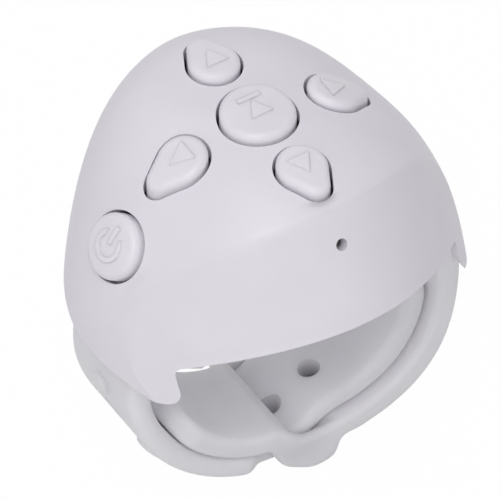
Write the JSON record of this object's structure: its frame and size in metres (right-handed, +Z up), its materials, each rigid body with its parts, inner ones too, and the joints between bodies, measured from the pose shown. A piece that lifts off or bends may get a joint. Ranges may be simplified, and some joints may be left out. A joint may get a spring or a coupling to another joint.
{
  "type": "ring remote",
  "caption": "Finger-worn wireless remote: a domed pod with a ring of raised keys on top and a flank key, on an adjustable two-strap silicone band.",
  "frame": {"origin": "middle of the bounding box on the level of the band's rib, the lowest point", "axes": "+Z up through the pod's dome, +Y back along the finger, +X to the wearer's right"},
  "size_m": [0.0338, 0.0298, 0.0394],
  "materials": {
    "shell": "satin moulded white",
    "cover": "satin moulded white",
    "key": "satin moulded white",
    "strap": "slightly clear silicone rubber",
    "clamp": "moulded",
    "screw": "zinc plated",
    "board": "solder mask",
    "mat": "silicone",
    "disc": "sprung steel",
    "cell": "foil pouch",
    "foam": "foam",
    "lead_red": "insulated wire",
    "lead_black": "insulated wire",
    "chip": "moulded package",
    "can": "metal can",
    "ceramic_part": "glazed",
    "led": "clear lens",
    "guide": "clear rod",
    "switch": "moulded package",
    "socket": "plated",
    "tongue": "moulded"
  },
  "bodies": {
    "pod": {"upper_shell": "shell", "base_cover": "cover", "strap_holes": "strap", "strap_slot": "strap", "clamp_left": "clamp", "clamp_right": "clamp", "screw_front_left": "screw", "screw_rear_left": "screw", "screw_front_right": "screw", "screw_rear_right": "screw", "main_board": "board", "keypad_mat": "mat", "snap_disc_ok": "disc", "snap_disc_right": "disc", "snap_disc_back": "disc", "snap_disc_left": "disc", "snap_disc_front": "disc", "battery_cell": "cell", "foam_pad": "foam", "lead_plus": "lead_red", "lead_minus": "lead_black", "radio_chip": "chip", "crystal": "can", "chip_antenna": "ceramic_part", "status_led": "led", "light_guide": "guide", "power_switch": "switch", "usb_shell": "socket", "usb_tongue": "tongue"},
    "key_ok_body": {"key_ok": "key"},
    "key_front_body": {"key_front": "key"},
    "key_back_body": {"key_back": "key"},
    "key_left_body": {"key_left": "key"},
    "key_right_body": {"key_right": "key"},
    "key_power_body": {"key_power": "key"}
  },
  "joints": [
    {"name": "key_ok_press", "type": "slide", "parent": "pod", "child": "key_ok_body", "axis": [0, 0, -1], "range_m": [0, 0.0003], "stiffness_N_per_m": 3000},
    {"name": "key_front_press", "type": "slide", "parent": "pod", "child": "key_front_body", "axis": [0, 0, -1], "range_m": [0, 0.0003], "stiffness_N_per_m": 3000},
    {"name": "key_back_press", "type": "slide", "parent": "pod", "child": "key_back_body", "axis": [0, 0, -1], "range_m": [0, 0.0003], "stiffness_N_per_m": 3000},
    {"name": "key_left_press", "type": "slide", "parent": "pod", "child": "key_left_body", "axis": [0, 0, -1], "range_m": [0, 0.0003], "stiffness_N_per_m": 3000},
    {"name": "key_right_press", "type": "slide", "parent": "pod", "child": "key_right_body", "axis": [0, 0, -1], "range_m": [0, 0.0003], "stiffness_N_per_m": 3000},
    {"name": "key_power_press", "type": "slide", "parent": "pod", "child": "key_power_body", "axis": [0.8199, 0, -0.5725], "range_m": [0, 0.0003], "stiffness_N_per_m": 3000}
  ]
}
